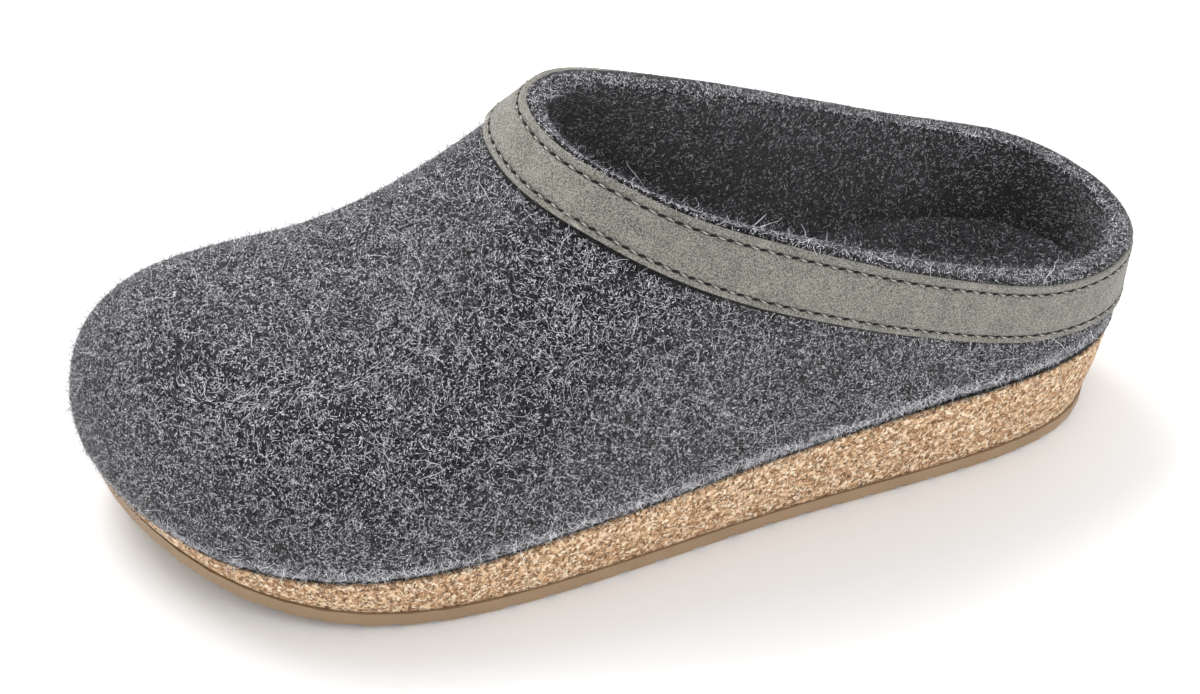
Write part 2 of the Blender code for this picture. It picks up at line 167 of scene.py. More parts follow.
def felt_finish(name, dark, light, strand):
    """Wool felt, fulled and pressed: a mat of curled strands over a dark ground that is partly painted shade, soft
    and without shine.
    """
    material, tree, shader = finish(
        name, Roughness=0.95, IOR=1.54, Specular_IOR_Level=0.1, Sheen_Weight=0.3, Sheen_Roughness=0.25
    )
    place = add(tree, "TexCoord").outputs["Object"]
    # Strands curl over about half a mm. A thin level of a noise draws such curls.
    strands = None
    for scale, shift in ((1 / (0.6 * MM), 0.0), (1 / (0.5 * MM), 3.1), (1 / (0.42 * MM), 7.7)):
        moved = add(tree, "Mapping", {"Vector": place, "Location": (shift, -shift, 2 * shift)})
        curled = {"Vector": moved.outputs[0], "Scale": scale, "Detail": 1.0, "Distortion": 0.9}
        curls = add(tree, "TexNoise", curled)
        level = add(
            tree,
            "ValToRGB",
            {"Fac": curls.outputs["Fac"]},
            stops=((0.465, "#000000"), (0.5, "#ffffff"), (0.535, "#000000")),
        )
        if strands is None:
            strands = level.outputs["Color"]
        else:
            both = {0: 1.0, 6: strands, 7: level.outputs["Color"]}
            strands = add(tree, "Mix", both, data_type="RGBA", blend_type="LIGHTEN").outputs[2]
    # Blended wool clumps over 5 to 15 mm.
    clumps = add(tree, "TexNoise", {"Vector": place, "Scale": 1 / (6 * MM), "Detail": 3.0, "Roughness": 0.6})
    # The ground is near black: partly the darker wool beneath, partly painted shade in the gaps between the
    # fibres.
    ground = add(tree, "Mix", {0: clumps.outputs["Fac"], 6: linear(dark), 7: linear(light)}, data_type="RGBA")
    amount = add(tree, "Math", {0: strands, 1: 0.6}, operation="MULTIPLY")
    colour = add(tree, "Mix", {0: amount.outputs[0], 6: ground.outputs[2], 7: linear(strand)}, data_type="RGBA")
    tree.links.new(colour.outputs[2], shader.inputs["Base Color"])
    bump = add(tree, "Bump", {"Height": strands, "Strength": 0.7, "Distance": 0.25 * MM})
    tree.links.new(bump.outputs[0], shader.inputs["Normal"])
    return material


def welded(node):
    """A CAD node's mesh, its doubles merged and its triangles joined into quads."""
    shape = bmesh.new()
    shape.from_mesh(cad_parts[node].data)
    bmesh.ops.remove_doubles(shape, verts=shape.verts, dist=0.002 * MM)
    bmesh.ops.join_triangles(
        shape,
        faces=shape.faces,
        angle_face_threshold=math.radians(50),
        angle_shape_threshold=math.radians(60),
    )
    return shape


def crease_corners(shape, sharper, strength):
    """Holds the edges that turn more than sharper degrees, so that the rounding keeps them."""
    held = shape.edges.layers.float.get("crease_edge") or shape.edges.layers.float.new("crease_edge")
    for edge in shape.edges:
        if edge.calc_face_angle(0) > math.radians(sharper):
            edge[held] = strength


def into_object(shape, name, materials):
    """A smooth-shaded object from a bmesh."""
    mesh = bpy.data.meshes.new(name)
    shape.to_mesh(mesh)
    shape.free()
    mesh.shade_smooth()
    for material in materials:
        mesh.materials.append(material)
    return placed(name, mesh)


def rounded(made, levels):
    """Takes the object through a subdivision surface and keeps the finer mesh."""
    rounding = made.modifiers.new("rounding", "SUBSURF")
    rounding.levels = levels
    rounding.render_levels = levels
    fine = bpy.data.meshes.new_from_object(made.evaluated_get(bpy.context.evaluated_depsgraph_get()))
    made.modifiers.clear()
    made.data = fine
    fine.shade_smooth()
    return made


def vertex_places(mesh):
    """The mesh's points and normals as arrays."""
    places = np.empty(len(mesh.vertices) * 3)
    mesh.vertices.foreach_get("co", places)
    normals = np.empty(len(mesh.vertices) * 3, np.float32)
    mesh.vertex_normals.foreach_get("vector", normals)
    return places.reshape(-1, 3), normals.reshape(-1, 3).astype(float)


def move_vertices(mesh, places):
    """Puts an array of points back into the mesh."""
    mesh.vertices.foreach_set("co", places.astype(np.float32).ravel())
    mesh.update()


def surface_tree(made):
    """A search tree over an object's mesh."""
    mesh = made.data
    return BVHTree.FromPolygons([v.co for v in mesh.vertices], [tuple(p.vertices) for p in mesh.polygons])


def distances_to(tree, places):
    """How far each point is from a surface."""
    return np.array([tree.find_nearest(Vector(p))[3] for p in places])


def unit(vectors):
    """Vectors scaled to a length of one."""
    return vectors / np.maximum(np.linalg.norm(vectors, axis=-1, keepdims=True), 1e-12)


def sharp_rings(shape, degrees):
    """The closed rings of edges that turn more than some degrees, each as ordered points."""
    turning = [edge for edge in shape.edges if edge.calc_face_angle(0) > math.radians(degrees)]
    meeting = {}
    for edge in turning:
        for vert in edge.verts:
            meeting.setdefault(vert, []).append(edge)
    rings = []
    while meeting:
        start = next(iter(meeting))
        ring, vert, came = [], start, None
        while vert in meeting:
            ring.append(vert.co.copy())
            onward = [edge for edge in meeting.pop(vert) if edge != came]
            came = onward[0]
            vert = came.other_vert(vert)
        rings.append(np.array(ring))
    return rings


def evenly(ring, count):
    """Points at even distances round a closed ring."""
    closed = np.concatenate([ring, ring[:1]])
    run = np.r_[0, np.cumsum(np.linalg.norm(np.diff(closed, axis=0), axis=1))]
    at = np.linspace(0, run[-1], count, endpoint=False)
    return np.stack([np.interp(at, run, closed[:, i]) for i in range(3)], -1)


def length_round(ring):
    """The length of a closed ring."""
    return np.linalg.norm(ring - np.roll(ring, -1, 0), axis=1).sum()


def points_tree(points):
    """A search tree over points."""
    tree = KDTree(len(points))
    for i, point in enumerate(points):
        tree.insert(point, i)
    tree.balance()
    return tree


def nearest_in(tree, places):
    """For each place, the number of a tree's nearest point and the distance to it."""
    found = [tree.find(place) for place in places]
    return np.array([number for _, number, _ in found]), np.array([gap for _, _, gap in found])


def sharp_points(shape, degrees, spacing):
    """Points at a spacing along every edge that turns more than some degrees."""
    points = []
    for edge in shape.edges:
        if edge.calc_face_angle(0) > math.radians(degrees):
            a, b = (np.array(vert.co) for vert in edge.verts)
            for t in np.arange(0, 1, spacing / max(edge.calc_length(), spacing)):
                points.append(a + (b - a) * t)
    return np.array(points)


def faces_out(places, normals):
    """Whether each point looks away from the shoe's hollow."""
    rows = np.array(HOLLOW) * MM
    middle = np.stack([np.clip(places[:, 0], rows[0, 0], rows[-1, 0])] * 3, -1)
    middle[:, 1] = np.interp(places[:, 0], rows[:, 0], rows[:, 1])
    middle[:, 2] = np.interp(places[:, 0], rows[:, 0], rows[:, 2])
    return np.sum(normals * (places - middle), -1) > 0


def waves(places, size):
    """Smooth noise from -1 to 1 at each point, with features of the given size."""
    return np.array([noise.noise(Vector(p) / size) for p in places])


def along_line(places, line):
    """Distance to a line of points, the share of its length and its direction, for each point."""
    line = np.array(line) * MM
    best = np.full(len(places), 1e9)
    share = np.zeros(len(places))
    toward = np.zeros((len(places), 3))
    for i in range(len(line) - 1):
        step = line[i + 1] - line[i]
        t = np.clip((places - line[i]) @ step / (step @ step), 0, 1)
        gap = np.linalg.norm(places - line[i] - t[:, None] * step, axis=1)
        nearer = gap < best
        best = np.where(nearer, gap, best)
        share = np.where(nearer, (i + t) / (len(line) - 1), share)
        toward[nearer] = step
    return best, share, unit(toward)


def scatter(mesh, count, weight):
    """Random points on a mesh, and its normals there, as dense as weight says for each triangle."""
    mesh.calc_loop_triangles()
    corners = np.empty(len(mesh.loop_triangles) * 3, np.int32)
    mesh.loop_triangles.foreach_get("vertices", corners)
    corners = corners.reshape(-1, 3)
    places, normals = vertex_places(mesh)
    a, b, c = (places[corners[:, i]] for i in range(3))
    cross = np.cross(b - a, c - a)
    share = np.linalg.norm(cross, axis=1) * weight((a + b + c) / 3, unit(cross))
    picked = rng.choice(len(share), count, p=share / share.sum())
    u, v = rng.random((2, count))
    over = u + v > 1
    u, v = np.where(over, 1 - u, u), np.where(over, 1 - v, v)
    parts = np.stack([1 - u - v, u, v], -1)[:, :, None]
    chosen = corners[picked]
    return np.sum(places[chosen] * parts, 1), unit(np.sum(normals[chosen] * parts, 1))


def lay_fibres(
    name,
    roots,
    normals,
    comb,
    length,
    shades,
    curl=2.0,
    lift=0.25,
    steps=FIBRE_STEPS,
    standing=0.04,
    width=FIBRE_WIDTH,
):
    """Lays thin curled ribbons on a surface, each in one shade, as one curve object.

    comb gives the way that each lies and how firmly. Lengths, lift and width are in mm, and standing is a share.
    """
    count = len(roots)
    reference = np.where(np.abs(normals[:, :1]) < 0.9, (1.0, 0.0, 0.0), (0.0, 1.0, 0.0))
    first = unit(np.cross(normals, reference))
    second = np.cross(normals, first)
    direction, hold = comb
    wanted = np.arctan2(np.sum(direction * second, -1), np.sum(direction * first, -1))
    turn = wanted + rng.uniform(-math.pi, math.pi, count) * (1 - hold)
    span = rng.uniform(*length, count) * MM
    shares = np.linspace(0, 1, steps + 1)
    bend = rng.normal(0, curl, count)[:, None]
    angle = turn[:, None] + bend * (np.arange(steps) / steps - 0.5) + rng.normal(0, 0.25, (count, steps))
    way = np.cos(angle)[..., None] * first[:, None] + np.sin(angle)[..., None] * second[:, None]
    parts = np.cumsum(way * (span / steps)[:, None, None], 1)
    path = np.concatenate([np.zeros((count, 1, 3)), parts], 1)
    path -= path.mean(1, keepdims=True)
    height = rng.uniform(0.3, 1.0, count)[:, None] * lift * MM
    rise = height * np.sin(np.pi * np.clip(shares * rng.uniform(0.5, 1.1, count)[:, None], 0, 1))
    up = rng.random(count) < standing
    rise = rise + np.where(up, rng.uniform(0.2, 0.8, count) * span, 0)[:, None] * shares
    path = path + roots[:, None] + normals[:, None] * (rise + FIBRE_GAP * MM)[..., None]
    along = unit(np.gradient(path, axis=1))
    across = unit(np.cross(normals[:, None], along))
    upright = unit(np.array((0.0, 0.0, 1.0)) - along * along[..., 2:])
    tilt = np.arctan2(np.sum(np.cross(upright, across) * along, -1), np.sum(upright * across, -1))
    taper = np.interp(shares, (0, 0.25, 0.7, 1), (0.5, 1, 0.9, 0.3)) if steps > 1 else np.array((1.0, 0.6))
    radii = taper * rng.uniform(0.6, 1.25, count)[:, None]
    curve = bpy.data.curves.new(name, "CURVE")
    curve.dimensions = "3D"
    curve.twist_mode = "Z_UP"
    curve.extrude = width / 2 * MM
    for material, share in shades:
        curve.materials.append(material)
    chances = np.array([share for material, share in shades])
    slots = rng.choice(len(shades), count, p=chances / chances.sum())
    corners = np.concatenate([path, np.ones((count, steps + 1, 1))], 2).reshape(count, -1).tolist()
    tilts, sizes = tilt.tolist(), radii.tolist()
    for i in range(count):
        spline = curve.splines.new("POLY")
        spline.points.add(steps)
        spline.points.foreach_set("co", corners[i])
        spline.points.foreach_set("tilt", tilts[i])
        spline.points.foreach_set("radius", sizes[i])
        spline.material_index = int(slots[i])
    return placed(name, curve)


def ride(made, slot, *replaced):
    """Puts a finished piece on the part's body and hides the nodes that it stands for; slot is not used."""
    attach(made, "root")
    if replaced:
        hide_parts(*replaced)
    return made


# The camera and the studio.

azimuth, elevation, roll = (math.radians(angle) for angle in (VIEW_AZIMUTH, VIEW_ELEVATION, VIEW_ROLL))
flat = math.cos(elevation)
back = Vector((math.sin(azimuth) * flat, -math.cos(azimuth) * flat, math.sin(elevation)))
right = Vector((math.cos(azimuth), math.sin(azimuth), 0))
upward = back.cross(right)
camera_data = bpy.data.cameras.new("camera")
camera_data.lens = LENS
camera_data.sensor_width = 36
camera_data.clip_start = 0.01
camera_data.clip_end = 20
camera = placed("camera", camera_data)
turned = Matrix((
    right * math.cos(roll) + upward * math.sin(roll),
    upward * math.cos(roll) - right * math.sin(roll),
    back,
)).transposed()
camera.matrix_world = Matrix.Translation(Vector(VIEW_TARGET) * MM + back * VIEW_DISTANCE * MM) @ turned.to_4x4()
bpy.context.scene.camera = camera
bpy.context.scene.view_settings.view_transform = "Standard"

paper = finish("white_studio_paper", Base_Color=linear("#ffffff"), Roughness=0.9)[0]
ground = bmesh.new()
bmesh.ops.create_grid(ground, x_segments=1, y_segments=1, size=6)
floor = into_object(ground, "floor", [paper])

world = bpy.data.worlds.new("studio")
world.use_nodes = True
world.node_tree.nodes["Background"].inputs["Color"].default_value = linear("#ffffff")
world.node_tree.nodes["Background"].inputs["Strength"].default_value = 0.9
bpy.context.scene.world = world


def soft_light(name, place, aim, size, power):
    """A large square lamp that looks at a point."""
    lamp = bpy.data.lights.new(name, "AREA")
    lamp.size = size
    lamp.energy = power
    looking = (Vector(aim) - Vector(place)).to_track_quat("-Z", "Y")
    placed(name, lamp).matrix_world = Matrix.Translation(place) @ looking.to_matrix().to_4x4()


soft_light("overhead_softbox", (0.35, -0.75, 1.2), (0, 0, 0.03), 0.9, 15)
soft_light("side_softbox", (-1.0, 1.0, 0.7), (0, 0, 0.03), 0.8, 5)


# The felt upper: the imported shell, rounded, with its crease and the unevenness of moulded felt.

# The two near-black ground colours paint the shade between the fibres as well as the darker wool.
grey_felt = felt_finish("grey_wool_felt", "#040405", "#0c0c0e", "#707075")

# The band's four edges and the line where the felt meets the cork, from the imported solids.
upper_tree = surface_tree(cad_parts["upper"])
band_tree = surface_tree(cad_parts["collar_band"])


def off_felt(ring):
    """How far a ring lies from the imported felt, from every 40th of its points."""
    return np.mean(distances_to(upper_tree, ring[::40]))


shape = welded("collar_band")
rings = [evenly(ring, RING_POINTS) for ring in sharp_rings(shape, 45)]
shape.free()
rings.sort(key=lambda ring: -ring[:, 2].mean())
rim_inner, rim_outer = sorted(rings[:2], key=off_felt)
foot_inner = min(rings[2:], key=off_felt)
rim_climb = unit(rim_inner - foot_inner[nearest_in(points_tree(foot_inner), rim_inner)[0]])
rim_out = unit((rim_outer[nearest_in(points_tree(rim_outer), rim_inner)[0]] - rim_inner) * (1, 1, 0))
shape = welded("cork_midsole")
cork_line = sharp_points(shape, 40, 0.3 * MM)
shape.free()
cork_line = cork_line[distances_to(upper_tree, cork_line) < 0.5 * MM]
cork_line = cork_line[faces_out(cork_line, unit(cork_line * (1, 1, 0)))]
cork_line_tree = points_tree(cork_line)
rim_tree = points_tree(rim_inner)


def beside_rim(places):
    """The number of the rim's nearest point, the distance to it and the height above it, for each place."""
    rim, gap = nearest_in(rim_tree, places)
    return rim, gap, np.sum((places - rim_inner[rim]) * rim_climb[rim], -1)


def edge_distance(places):
    """How far each place is from the line where the felt meets the cork."""
    return nearest_in(cork_line_tree, places)[1]


shape = welded("upper")
crease_corners(shape, 50, 0.95)
felt = rounded(into_object(shape, "felt_upper", [grey_felt]), 2)
places, normals = vertex_places(felt.data)
outside = faces_out(places, normals)
# The felt swells out over the band's top edge, and it is pulled in where it meets the cork.
rim, rim_gap, climb = beside_rim(places)
swell = fade(rim_gap, 1.6) * (climb > -0.6 * MM)
places += rim_out[rim] * (RIM_BULGE * MM * swell)[:, None]
edge_gap = edge_distance(places)
tuck = EDGE_TUCK * fade(edge_gap, 1.0) - EDGE_SWELL * fade(edge_gap - 3.5 * MM, 2)
places -= unit(normals * (1, 1, 0.2)) * (tuck * outside * MM)[:, None]
gap, share, _ = along_line(places, CREASE_LINE)
crease = CREASE_DEPTH * MM * fade(gap, CREASE_REACH) * np.sin(np.pi * share) ** 0.5
uneven = sum(height * MM * waves(places, size * MM) for height, size in FELT_WAVES)
places += normals * (np.where(outside, uneven - crease, uneven * 0.5))[:, None]
move_vertices(felt.data, places)
ride(felt, "grey_felt", "upper")

# Dyed wool fibre: every fibre has one shade, and the heather grey comes from their blend.
wool = {}
for shade, code in (("white", "#f4f4f8"), ("light", "#cbcbd1"), ("mid", "#67676e"), ("dark", "#0a0a0c")):
    sockets = {"Base_Color": linear(code), "Roughness": 0.7, "IOR": 1.54, "Specular_IOR_Level": 0.15}
    wool[shade] = finish(f"wool_fibre_{shade}", **sockets)[0]

def beside_band(places, nearer, lower):
    """Whether each point is free of the band, or on the rim above it, within some mm more."""
    _, gap, climb = beside_rim(places)
    above = (gap < 8 * MM) & (climb > (-0.5 - lower) * MM)
    return (distances_to(band_tree, places) > (BAND_CLEAR - nearer) * MM) | above


def outer_keep(roots):
    """The roots that the band and the cork leave free; the bare strips beside them show the dark ground as painted
    shade.
    """
    return beside_band(roots, 0.0, 0.0) & (edge_distance(roots) > 2.0 * MM)


def outer_weight(places, normals):
    """Dense outside the band, in clumps, and thin under the felt's lower edge, where the bare ground paints shade.
    """
    clear = beside_band(places, 0.5, 1.2)
    # Fewer fibres on faces that look down, so the bare dark ground paints the shade under the felt's lower edge.
    low = np.where(normals[:, 2] < -0.6, 0.2, 1.0)
    clumps = np.clip(1 + 0.3 * waves(places, 5 * MM) + 0.25 * waves(places, 13 * MM), 0.3, 2)
    return faces_out(places, normals) * clear * low * clumps


def inner_weight(places, normals):
    """The inner wall, in clumps, hairier towards the rim."""
    near_rim = np.exp(-nearest_in(rim_tree, places)[1] / (7 * MM))
    clumps = np.clip(1 + 0.9 * waves(places, 8 * MM), 0.2, 2)
    return ~faces_out(places, normals) * (places[:, 2] > 0.02) * (clumps + 2 * near_rim)


def combed(roots, facing):
    """The way the fibres lie: along the crease, and level beside the cork, and how firmly."""
    gap, _, toward = along_line(roots, CREASE_LINE)
    edge, fold = fade(edge_distance(roots), 3.5), fade(gap, 6)
    level = unit(np.cross(facing, (0.0, 0.0, 1.0)))
    inside = 0.6 * ~faces_out(roots, facing) * (np.abs(facing[:, 2]) < 0.7)
    way = np.where((fold > edge)[:, None], toward, level)
    return way, np.clip(np.max([0.85 * fold, 0.9 * edge, inside], 0), 0, 0.9)


def fibre_piece(name, mesh, count, weight, length, shades, slot="grey_felt", keep=None, **lay):
    """Scatters and lays one piece of fibres on the felt, as dense as weight says, where keep says."""
    roots, facing = scatter(mesh, count, weight)
    if keep is not None:
        kept = keep(roots)
        roots, facing = roots[kept], facing[kept]
    blend = [(wool[shade], amount) for shade, amount in shades.items()]
    ride(lay_fibres(name, roots, facing, combed(roots, facing), length, blend, **lay), slot)


# Each layer of fibre: how many, in how many straight parts, their lengths in mm and their blend.
OUTER_LAYERS = (
    (38000, 2, (0.6, 1.4), {"light": 3, "mid": 3, "dark": 11}),
    (74000, 1, (0.35, 0.9), {"white": 3, "light": 5, "mid": 3, "dark": 10}),
    (74000, 1, (0.3, 0.8), {"white": 8, "light": 5, "mid": 1, "dark": 9}),
)
for layer, (count, steps, length, shades) in enumerate(OUTER_LAYERS):
    name = f"felt_fibres_{layer + 1}"
    fibre_piece(name, felt.data, count, outer_weight, length, shades, keep=outer_keep, steps=steps)
# The inside is the same felt, in a lighter blend than the outside: painted light that lifts the shaded hollow.
inner_painted_light_blend = {"white": 5, "light": 12, "mid": 8, "dark": 5}
fibre_piece("felt_fibres_inside", felt.data, INNER_FIBRES, inner_weight, (0.4, 1.1), inner_painted_light_blend, steps=1)


def combed_weight(places, normals):
    """A strip above the felt's foot, and a thin scatter along the crease."""
    strip = fade(edge_distance(places) - 4.4 * MM, 1.5)
    fold = fade(along_line(places, CREASE_LINE)[0], 5)
    return faces_out(places, normals) * (strip + 0.1 * fold)


def edge_shade_weight(places, normals):
    """The felt's lowest strip outside, without its underside, where dark fibres paint the shade of the seam over
    the cork.
    """
    return faces_out(places, normals) * (edge_distance(places) < 3.5 * MM) * (normals[:, 2] > -0.5)


# Fibres combed along the felt's foot, dark ones painting shade in the seam over the cork, a standing haze and
# stray hairs.
fibre_piece(
    "felt_combed_fibres",
    felt.data,
    COMBED_FIBRES,
    combed_weight,
    (2.5, 4.5),
    {"white": 4, "light": 4, "mid": 1},
    keep=lambda roots: edge_distance(roots) > 2.6 * MM,
    curl=1.0,
    lift=0.45,
    steps=3,
    width=0.12,
)
# Painted shade: near-black fibres laid along the seam where the felt meets the cork.
fibre_piece(
    "felt_edge_shade_fibres",
    felt.data,
    EDGE_SHADE_FIBRES,
    edge_shade_weight,
    (1.5, 3.5),
    {"mid": 1, "dark": 12},
    keep=lambda roots: (edge_distance(roots) < 2.5 * MM) & (edge_distance(roots) > 1.2 * MM),
    curl=0.5,
    lift=0.45,
    width=0.22,
)
fibre_piece(
    "felt_haze",
    felt.data,
    HAZE_FIBRES,
    outer_weight,
    (1.6, 3.8),
    {"light": 4, "mid": 7},
    keep=outer_keep,
    standing=1.0,
    width=0.1,
)
fibre_piece(
    "felt_long_hairs",
    felt.data,
    LONG_HAIRS,
    outer_weight,
    (3, 8),
    {"white": 3, "light": 3},
    keep=outer_keep,
    steps=HAIR_STEPS,
    standing=0.5,
    width=0.09,
    lift=0.9,
)

# The insole: the same wool with a short nap, in a lighter blend that is painted light on the footbed.

insole_felt = felt_finish("insole_wool_felt", "#0c0c0d", "#222224", "#b2b2b7")
shape = welded("insole")
crease_corners(shape, 50, 0.4)
insole = rounded(into_object(shape, "insole_felt", [insole_felt]), 1)
places, _ = vertex_places(insole.data)
# Its edge presses against the felt wall all round, so no cork shows between them.
for i, place in enumerate(places):
    wall, _, _, gap = upper_tree.find_nearest(Vector(place))
    press = np.clip((PRESS_REACH * MM - gap) / (PRESS_BLEND * MM), 0, 1)
    places[i] += unit((np.array(wall) - place) * (1, 1, 0)) * press * (gap + PRESS_SINK * MM)
move_vertices(insole.data, places)
ride(insole, "light_grey_felt", "insole")

# Its mostly light fibres are part of that painted light on the footbed.
fibre_piece(
    "insole_fibres",
    insole.data,
    INSOLE_FIBRES,
    lambda places, normals: normals[:, 2] > 0.3,
    (0.5, 1.2),
    {"white": 7, "light": 14, "mid": 5, "dark": 3},
    slot="light_grey_felt",
    steps=1,
)

# The cork: pressed granules in a binder.


def cork_finish():
    """Agglomerated cork, moulded and sanded: stringy granules in three tones with dark gaps, dull."""
    material, tree, shader = finish("agglomerated_cork", Roughness=0.85, IOR=1.45, Specular_IOR_Level=0.3)
    place = add(tree, "TexCoord").outputs["Object"]
    warp = add(tree, "TexNoise", {"Vector": place, "Scale": 1 / (1.7 * MM), "Detail": 3.0})
    pushed = add(tree, "VectorMath", {0: warp.outputs["Color"], "Scale": 1.6 * MM}, operation="SCALE")
    warped = add(tree, "VectorMath", {0: place, 1: pushed.outputs[0]}, operation="ADD")
    # Granules are about 0.9 mm across, and pressing leaves them a little upright.
    stretched = add(tree, "Mapping", {"Vector": warped.outputs[0], "Scale": (1.0, 1.0, 0.85)}).outputs[0]
    grains = add(tree, "TexVoronoi", {"Vector": stretched, "Scale": 1 / (0.85 * MM)})
    tone = add(tree, "SeparateColor", {0: grains.outputs["Color"]})
    fine = add(tree, "TexNoise", {"Vector": stretched, "Scale": 1 / (0.38 * MM), "Detail": 3.0})
    mixed = add(tree, "Math", {0: fine.outputs["Fac"], 1: 1.1, 2: -0.55}, operation="MULTIPLY_ADD")
    mixed = add(tree, "Math", {0: tone.outputs[0], 1: mixed.outputs[0]}, operation="ADD")
    colour = add(
        tree,
        "ValToRGB",
        {"Fac": mixed.outputs[0]},
        stops=((0.0, "#a97f5a"), (0.3, "#cfa782"), (0.6, "#e6c39d"), (1.0, "#fceacf")),
    )
    # Only some of the gaps between granules are open and dark, and a few granules are bark.
    edges = add(tree, "TexVoronoi", {"Vector": stretched, "Scale": 1 / (0.85 * MM)}, feature="DISTANCE_TO_EDGE")
    seam = add(tree, "MapRange", {"Value": edges.outputs["Distance"], 1: 0.0, 2: 0.11})
    open_gaps = add(tree, "TexNoise", {"Vector": place, "Scale": 1 / (1.5 * MM), "Detail": 1.0})
    closed = add(tree, "MapRange", {"Value": open_gaps.outputs["Fac"], 1: 0.42, 2: 0.55})
    gaps = add(tree, "Math", {0: seam.outputs[0], 1: closed.outputs[0]}, operation="MAXIMUM")
    bark = add(tree, "TexVoronoi", {"Vector": stretched, "Scale": 1 / (0.6 * MM)})
    bark_tone = add(tree, "SeparateColor", {0: bark.outputs["Color"]})
    light_grain = add(tree, "MapRange", {"Value": bark_tone.outputs[1], 1: 0.1, 2: 0.16, 3: 0.2, 4: 1.0})
    bright = add(tree, "Math", {0: gaps.outputs[0], 1: light_grain.outputs[0]}, operation="MULTIPLY")
    shown = add(tree, "Mix", {0: bright.outputs[0], 6: linear("#5d4029"), 7: colour.outputs[0]}, data_type="RGBA")
    tree.links.new(shown.outputs[2], shader.inputs["Base Color"])
    height = add(tree, "Math", {0: bright.outputs[0], 1: mixed.outputs[0]}, operation="ADD")
    bump = add(tree, "Bump", {"Height": height.outputs[0], "Strength": 0.8, "Distance": 0.25 * MM})
    tree.links.new(bump.outputs[0], shader.inputs["Normal"])
    return material


cork_material = cork_finish()
shape = welded("cork_midsole")
crease_corners(shape, 40, 1.0)
cork = rounded(into_object(shape, "cork_body", [cork_material]), 2)
places, normals = vertex_places(cork.data)
move_vertices(cork.data, places + normals * (0.12 * MM * waves(places, 3 * MM))[:, None])
ride(cork, "cork", "cork_midsole")


# The tread: smooth moulded rubber.


def rubber_finish():
    """Moulded rubber with a fine matt grain and a dusty touch."""
    material, tree, shader = finish("brown_moulded_rubber", Roughness=0.6, IOR=1.52)
    place = add(tree, "TexCoord").outputs["Object"]
    dust = add(tree, "TexNoise", {"Vector": place, "Scale": 1 / (9 * MM), "Detail": 4.0})
    browns = {0: dust.outputs["Fac"], 6: linear("#8c745a"), 7: linear("#a68b6c")}
    colour = add(tree, "Mix", browns, data_type="RGBA")
    tree.links.new(colour.outputs[2], shader.inputs["Base Color"])
    grain = add(tree, "TexNoise", {"Vector": place, "Scale": 1 / (0.6 * MM), "Detail": 2.0})
    bump = add(tree, "Bump", {"Height": grain.outputs["Fac"], "Strength": 0.3, "Distance": 0.1 * MM})
    tree.links.new(bump.outputs[0], shader.inputs["Normal"])
    return material


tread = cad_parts["outsole"]
for slot in tread.material_slots:
    slot.material = rubber_finish()

# The leather band with its two rows of sewing.


def nubuck_finish(name, dark, light):
    """Nubuck, grain leather sanded to a short nap: matt, finely mottled, with tiny pores."""
    material, tree, shader = finish(name, Roughness=0.8, IOR=1.5, Specular_IOR_Level=0.3, Sheen_Weight=0.1)
    place = add(tree, "TexCoord").outputs["Object"]
    clouds = add(tree, "TexNoise", {"Vector": place, "Scale": 1 / (7 * MM), "Detail": 4.0, "Roughness": 0.6})
    specks = add(tree, "TexNoise", {"Vector": place, "Scale": 1 / (0.38 * MM), "Detail": 3.0, "Roughness": 0.8})
    mixed = add(tree, "Mix", {0: 0.86, 2: clouds.outputs["Fac"], 3: specks.outputs["Fac"]})
    spread = add(tree, "MapRange", {"Value": mixed.outputs[0], 1: 0.42, 2: 0.58})
    colour = add(tree, "Mix", {0: spread.outputs[0], 6: linear(dark), 7: linear(light)}, data_type="RGBA")
    tree.links.new(colour.outputs[2], shader.inputs["Base Color"])
    bump = add(tree, "Bump", {"Height": specks.outputs["Fac"], "Strength": 0.25, "Distance": 0.12 * MM})
    tree.links.new(bump.outputs[0], shader.inputs["Normal"])
    return material


nubuck = nubuck_finish("grey_nubuck", "#4f4d47", "#a09d94")
raw_leather = nubuck_finish("raw_leather_edge", "#908c82", "#b8b3a8")
# The thread is dark; its grey ply is a painted highlight that stands for the glints of the waxed thread.
thread = {}
for ply, code in (("dark", "#101011"), ("grey", "#b4b0a5")):
    thread[ply] = finish(f"waxed_thread_{ply}", Base_Color=linear(code), Roughness=0.25, IOR=1.55)[0]

shape = welded("collar_band")
crease_corners(shape, 50, 1.0)
band = rounded(into_object(shape, "leather_band", [nubuck, raw_leather]), 3)
band_surface = surface_tree(band)
edges = bmesh.new()
edges.from_mesh(band.data)
rings = [evenly(ring, RING_POINTS) for ring in sharp_rings(edges, 45) if len(ring) > 100]
edges.free()
outer_rings = [ring for ring in rings if off_felt(ring) > 1.0 * MM]
outer_rings.sort(key=lambda ring: -ring[:, 2].mean())
top_ring, low_ring = outer_rings
top_tree, low_tree = points_tree(top_ring), points_tree(low_ring)


def row_beside(ring, other, distance):
    """A line on the band's face at a distance from one of its edges, on the other edge's side."""
    tangent = unit(np.roll(ring, -8, 0) - np.roll(ring, 8, 0))
    nearest = np.array([other[np.argmin(np.sum((other - p) ** 2, 1))] for p in ring])
    inward = nearest - ring
    inward = unit(inward - tangent * np.sum(inward * tangent, -1, keepdims=True))
    line, facing = [], []
    for point in ring + inward * distance * MM:
        place, normal = band_surface.find_nearest(Vector(point))[:2]
        line.append(place)
        facing.append(normal)
    return np.array(line), np.array(facing)


upper_row = row_beside(top_ring, low_ring, UPPER_ROW)
lower_row = row_beside(low_ring, top_ring, LOWER_ROW)

# The felt's rim stands a little above the leather.
places, normals = vertex_places(band.data)
rim, rim_gap = nearest_in(rim_tree, places)
places -= rim_climb[rim] * (BAND_DROP * MM * np.clip(1 - rim_gap / (5 * MM), 0, 1))[:, None]
move_vertices(band.data, places)
places, normals = vertex_places(band.data)
